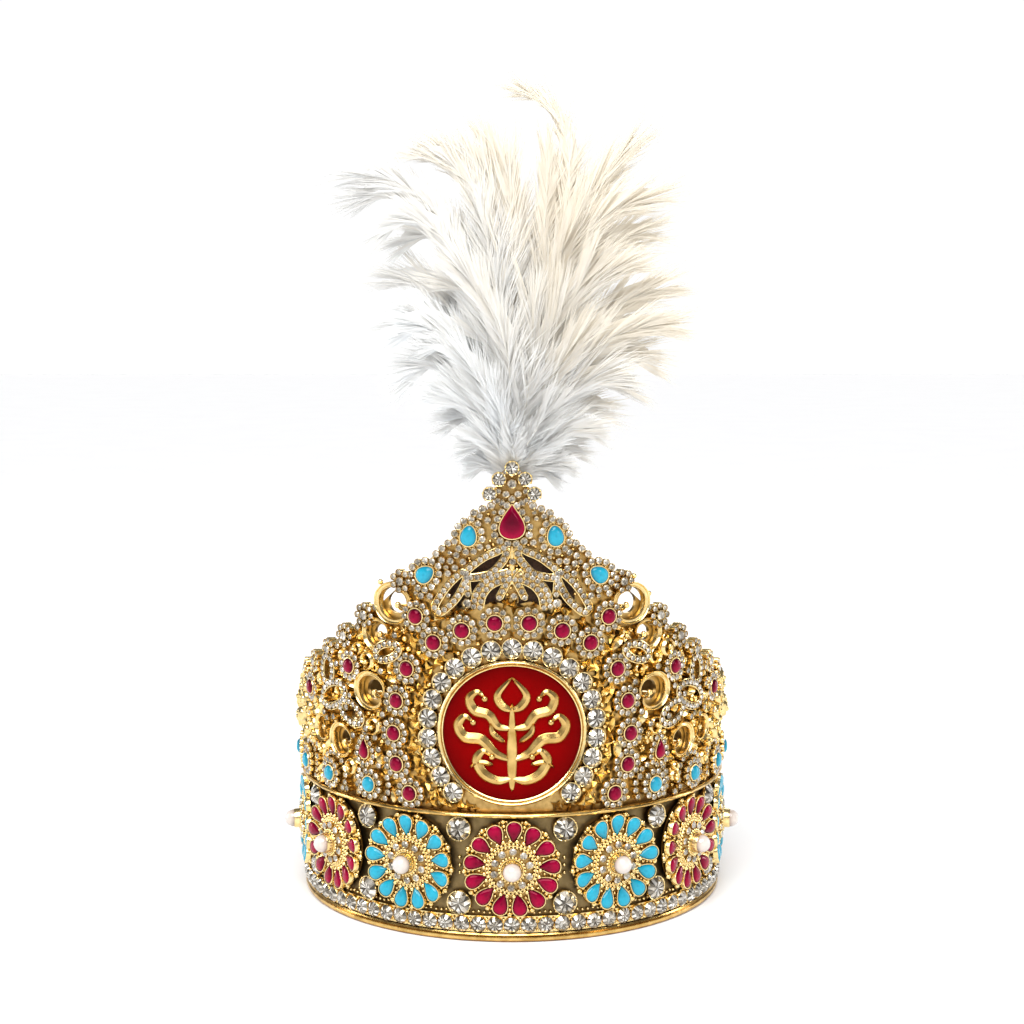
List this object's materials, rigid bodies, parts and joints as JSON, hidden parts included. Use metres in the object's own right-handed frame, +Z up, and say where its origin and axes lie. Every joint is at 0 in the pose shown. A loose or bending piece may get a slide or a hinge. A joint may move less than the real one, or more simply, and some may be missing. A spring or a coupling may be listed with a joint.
{
  "type": "ceremonial crown",
  "caption": "Gilded openwork crown with rosettes, set stones, pearls, a round red enamel medallion and a white ostrich plume over its front peak.",
  "frame": {"origin": "middle of the rim's underside, on the surface that the crown stands on", "axes": "+Z up along the crown's axis; the medallion and the peak face -Y; +X is on the right of someone who faces the medallion"},
  "size_m": [0.2198, 0.2234, 0.374],
  "materials": {
    "gold": "polished gilding, cast detail",
    "satin_gold": "satin champagne gilding",
    "crystal": "cut, silver foil behind",
    "ruby": "polished, deep magenta red",
    "turquoise": "polished cabochon",
    "pearl": "pearl lustre",
    "enamel": "glossy deep red enamel",
    "pad": "matte dark brown",
    "feather": "soft white to ivory barbs"
  },
  "bodies": {
    "root": {"base_rim": "gold", "stone_row": "crystal", "band": "satin_gold", "band_wire": "gold", "rosette_01": "ruby", "rosette_02": "turquoise", "rosette_03": "turquoise", "rosette_04": "ruby", "rosette_05": "ruby", "rosette_06": "turquoise", "rosette_07": "turquoise", "rosette_08": "ruby", "rosette_09": "ruby", "rosette_10": "turquoise", "rosette_11": "turquoise", "rosette_12": "ruby", "rosette_13": "ruby", "rosette_14": "turquoise", "crown_wall": "gold", "medallion_enamel": "enamel", "medallion_rim": "gold", "medallion_ornament": "gold", "medallion_stones": "crystal", "arch_flower_01": "ruby", "arch_flower_02": "ruby", "arch_flower_03": "ruby", "arch_flower_04": "ruby", "arch_flower_05": "ruby", "arch_flower_06": "ruby", "arch_flower_07": "ruby", "arch_flower_08": "ruby", "arch_flower_09": "ruby", "arch_flower_10": "ruby", "arch_flower_11": "ruby", "arch_flower_12": "ruby", "arch_flower_13": "ruby", "arch_flower_14": "ruby", "arch_flower_15": "ruby", "arch_flower_16": "ruby", "arch_flower_17": "ruby", "arch_flower_18": "ruby", "peak_flower_01": "turquoise", "peak_flower_02": "turquoise", "peak_flower_03": "turquoise", "peak_flower_04": "turquoise", "side_flower_01": "ruby", "side_flower_02": "ruby", "side_flower_03": "ruby", "side_flower_04": "ruby", "pear_stone_right": "ruby", "pear_stone_left": "ruby", "peak_stone": "ruby", "top_cluster": "crystal", "leaf_spray": "gold", "plume_socket": "gold", "peak_pad": "pad", "plume": "feather"}
  },
  "joints": []
}
